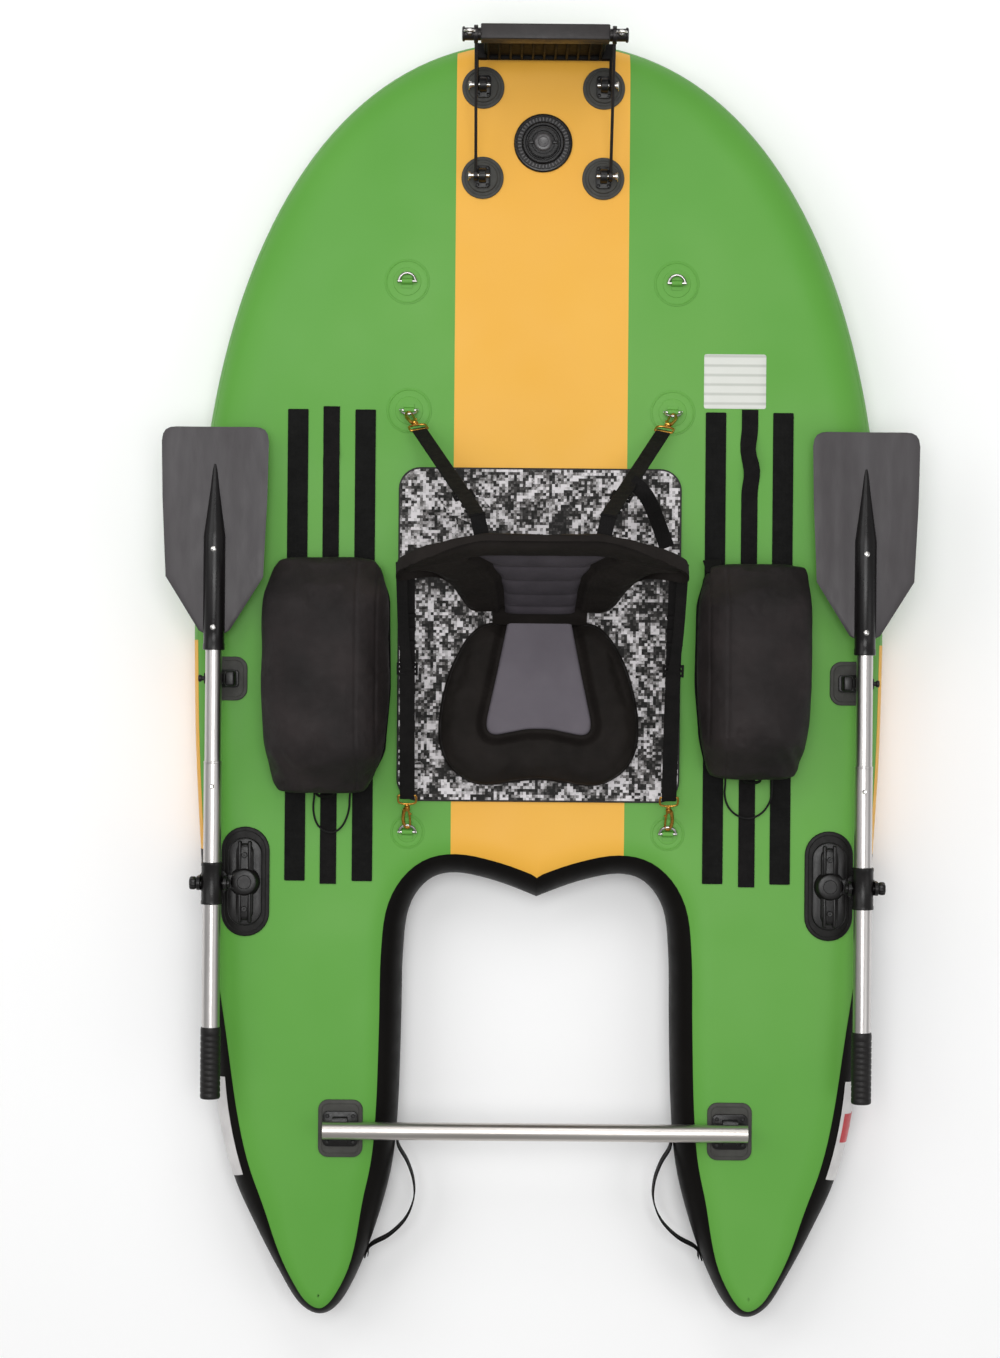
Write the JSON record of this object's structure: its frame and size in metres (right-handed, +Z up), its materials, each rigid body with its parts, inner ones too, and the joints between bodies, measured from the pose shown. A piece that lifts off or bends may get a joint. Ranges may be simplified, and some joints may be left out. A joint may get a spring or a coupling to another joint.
{
  "type": "inflatable float tube boat",
  "caption": "Flat inflatable float with a round bow and an open leg bay, folding seat, side bags, two oars in swivel locks, a crossbar and a bow motor bracket.",
  "frame": {"origin": "middle of the overall length and width, on the plane that the flat bottom rests on", "axes": "+Y towards the round bow, +X to starboard (the right hand of someone facing the bow), +Z up"},
  "size_m": [1.281, 2.2, 0.5212],
  "materials": {
    "pvc_green": "PVC-coated fabric, satin",
    "pvc_yellow": "PVC-coated fabric, satin",
    "pvc_black": "PVC-coated fabric, satin",
    "drop_threads": "polyester drop threads",
    "trim_white": "printed vinyl",
    "valve_black": "moulded nylon",
    "spring_steel": "bright wire",
    "rubber_black": "moulded rubber",
    "bracket_black": "glass-filled nylon",
    "brace_grey": "black powder coat",
    "stainless": "polished stainless steel",
    "brass": "cast brass",
    "webbing_black": "woven polypropylene webbing",
    "hook_black": "hook-and-loop strip",
    "bag_black": "coated polyester pack cloth",
    "camo_foam": "printed EVA foam",
    "seat_black": "polyester seat cloth",
    "cord_black": "braided cord",
    "aluminium": "anodised tube",
    "blade_grey": "moulded polypropylene",
    "grip_black": "soft grip"
  },
  "bodies": {
    "hull": {"drop_stitch_core": "drop_threads", "lower_skin": "pvc_green", "upper_skin": "pvc_green", "deck_stripe": "pvc_yellow", "side_wall_bow": "pvc_green", "side_wall_left": "pvc_yellow", "side_wall_right": "pvc_yellow", "side_wall_stern": "pvc_black", "trim_patches": "trim_white", "valve_body": "valve_black", "valve_spring": "spring_steel", "mount_pads": "rubber_black", "mount_feet": "bracket_black", "mount_board": "bracket_black", "mount_tube": "brace_grey", "mount_stays": "brace_grey", "dring_patches": "pvc_green", "seat_drings": "stainless", "snap_hooks": "brass", "hook_strips": "hook_black", "bag_straps": "webbing_black", "bag_left": "bag_black", "bag_right": "bag_black", "bag_cord_left": "cord_black", "bag_cord_right": "cord_black", "deck_pads": "rubber_black", "oar_rests": "bracket_black", "oarlock_bases": "bracket_black", "crossbar_clips": "bracket_black", "grab_handles": "webbing_black", "seat_pad": "camo_foam", "seat_base": "seat_black", "front_straps": "webbing_black", "side_straps": "webbing_black"},
    "valve_poppet": {"valve_poppet": "valve_black"},
    "valve_cap": {"valve_cap": "valve_black"},
    "mount_pin_front_left": {"mount_pin_front_left": "stainless"},
    "mount_pin_rear_left": {"mount_pin_rear_left": "stainless"},
    "clamp_knob_left": {"clamp_knob_left": "stainless"},
    "dring_front_left": {"dring_front_left": "stainless"},
    "oarlock_left": {"oarlock_left": "bracket_black"},
    "oar_left": {"oar_shaft_left": "aluminium", "oar_blade_left": "blade_grey", "oar_rivets_left": "stainless", "oar_grip_left": "grip_black"},
    "oar_knob_left": {"oar_knob_left": "bracket_black"},
    "snap_button_left": {"snap_button_left": "stainless"},
    "mount_pin_front_right": {"mount_pin_front_right": "stainless"},
    "mount_pin_rear_right": {"mount_pin_rear_right": "stainless"},
    "clamp_knob_right": {"clamp_knob_right": "stainless"},
    "dring_front_right": {"dring_front_right": "stainless"},
    "oarlock_right": {"oarlock_right": "bracket_black"},
    "oar_right": {"oar_shaft_right": "aluminium", "oar_blade_right": "blade_grey", "oar_rivets_right": "stainless", "oar_grip_right": "grip_black"},
    "oar_knob_right": {"oar_knob_right": "bracket_black"},
    "snap_button_right": {"snap_button_right": "stainless"},
    "seat_back": {"seat_back": "seat_black"},
    "crossbar": {"crossbar": "aluminium"}
  },
  "joints": [
    {"name": "valve_push", "type": "slide", "parent": "hull", "child": "valve_poppet", "axis": [0, 0, -1], "range_m": [0, 0.008], "stiffness_N_per_m": 300, "springref_m": -0.004, "deforming": ["valve_spring"]},
    {"name": "valve_cap_turn", "type": "hinge", "parent": "hull", "child": "valve_cap", "pos_m": [0, 0.912, 0.16], "axis": [0, 0, 1], "range_deg": [0, 90]},
    {"name": "mount_pin_front_left_pull", "type": "slide", "parent": "hull", "child": "mount_pin_front_left", "axis": [-1, 0, 0], "range_m": [0, 0.034]},
    {"name": "mount_pin_rear_left_pull", "type": "slide", "parent": "hull", "child": "mount_pin_rear_left", "axis": [-1, 0, 0], "range_m": [0, 0.034]},
    {"name": "clamp_knob_left_turn", "type": "hinge", "parent": "hull", "child": "clamp_knob_left", "pos_m": [-0.125, 1.062, 0.31], "axis": [0, 0, 1], "continuous": true},
    {"name": "dring_front_left_flip", "type": "hinge", "parent": "hull", "child": "dring_front_left", "pos_m": [-0.23, 0.674, 0.1562], "axis": [1, 0, 0], "range_deg": [0, 175]},
    {"name": "oarlock_left_swivel", "type": "hinge", "parent": "hull", "child": "oarlock_left", "pos_m": [-0.55, -0.352, 0.16], "axis": [0, 0, 1], "range_deg": [0, 95]},
    {"name": "oar_left_tilt", "type": "hinge", "parent": "oarlock_left", "child": "oar_left", "pos_m": [-0.55, -0.352, 0.196], "axis": [1, 0, 0], "range_deg": [0, 4]},
    {"name": "oar_knob_left_turn", "type": "hinge", "parent": "oarlock_left", "child": "oar_knob_left", "pos_m": [-0.55, -0.352, 0.196], "axis": [1, 0, 0], "continuous": true},
    {"name": "snap_button_left_press", "type": "slide", "parent": "oar_left", "child": "snap_button_left", "axis": [0, 0, -1], "range_m": [0, 0.0035], "stiffness_N_per_m": 600, "springref_m": -0.002},
    {"name": "mount_pin_front_right_pull", "type": "slide", "parent": "hull", "child": "mount_pin_front_right", "axis": [1, 0, 0], "range_m": [0, 0.034]},
    {"name": "mount_pin_rear_right_pull", "type": "slide", "parent": "hull", "child": "mount_pin_rear_right", "axis": [1, 0, 0], "range_m": [0, 0.034]},
    {"name": "clamp_knob_right_turn", "type": "hinge", "parent": "hull", "child": "clamp_knob_right", "pos_m": [0.125, 1.062, 0.31], "axis": [0, 0, 1], "continuous": true},
    {"name": "dring_front_right_flip", "type": "hinge", "parent": "hull", "child": "dring_front_right", "pos_m": [0.23, 0.674, 0.1562], "axis": [1, 0, 0], "range_deg": [0, 175]},
    {"name": "oarlock_right_swivel", "type": "hinge", "parent": "hull", "child": "oarlock_right", "pos_m": [0.55, -0.352, 0.16], "axis": [0, 0, -1], "range_deg": [0, 95]},
    {"name": "oar_right_tilt", "type": "hinge", "parent": "oarlock_right", "child": "oar_right", "pos_m": [0.55, -0.352, 0.196], "axis": [1, 0, 0], "range_deg": [0, 4]},
    {"name": "oar_knob_right_turn", "type": "hinge", "parent": "oarlock_right", "child": "oar_knob_right", "pos_m": [0.55, -0.352, 0.196], "axis": [1, 0, 0], "continuous": true},
    {"name": "snap_button_right_press", "type": "slide", "parent": "oar_right", "child": "snap_button_right", "axis": [0, 0, -1], "range_m": [0, 0.0035], "stiffness_N_per_m": 600, "springref_m": -0.002},
    {"name": "seat_back_fold", "type": "hinge", "parent": "hull", "child": "seat_back", "pos_m": [0, 0.097, 0.203], "axis": [1, 0, 0], "range_deg": [0, 108], "deforming": ["front_straps", "side_straps"]},
    {"name": "crossbar_lift", "type": "slide", "parent": "hull", "child": "crossbar", "axis": [0, 0, 1], "range_m": [0, 0.08]}
  ]
}
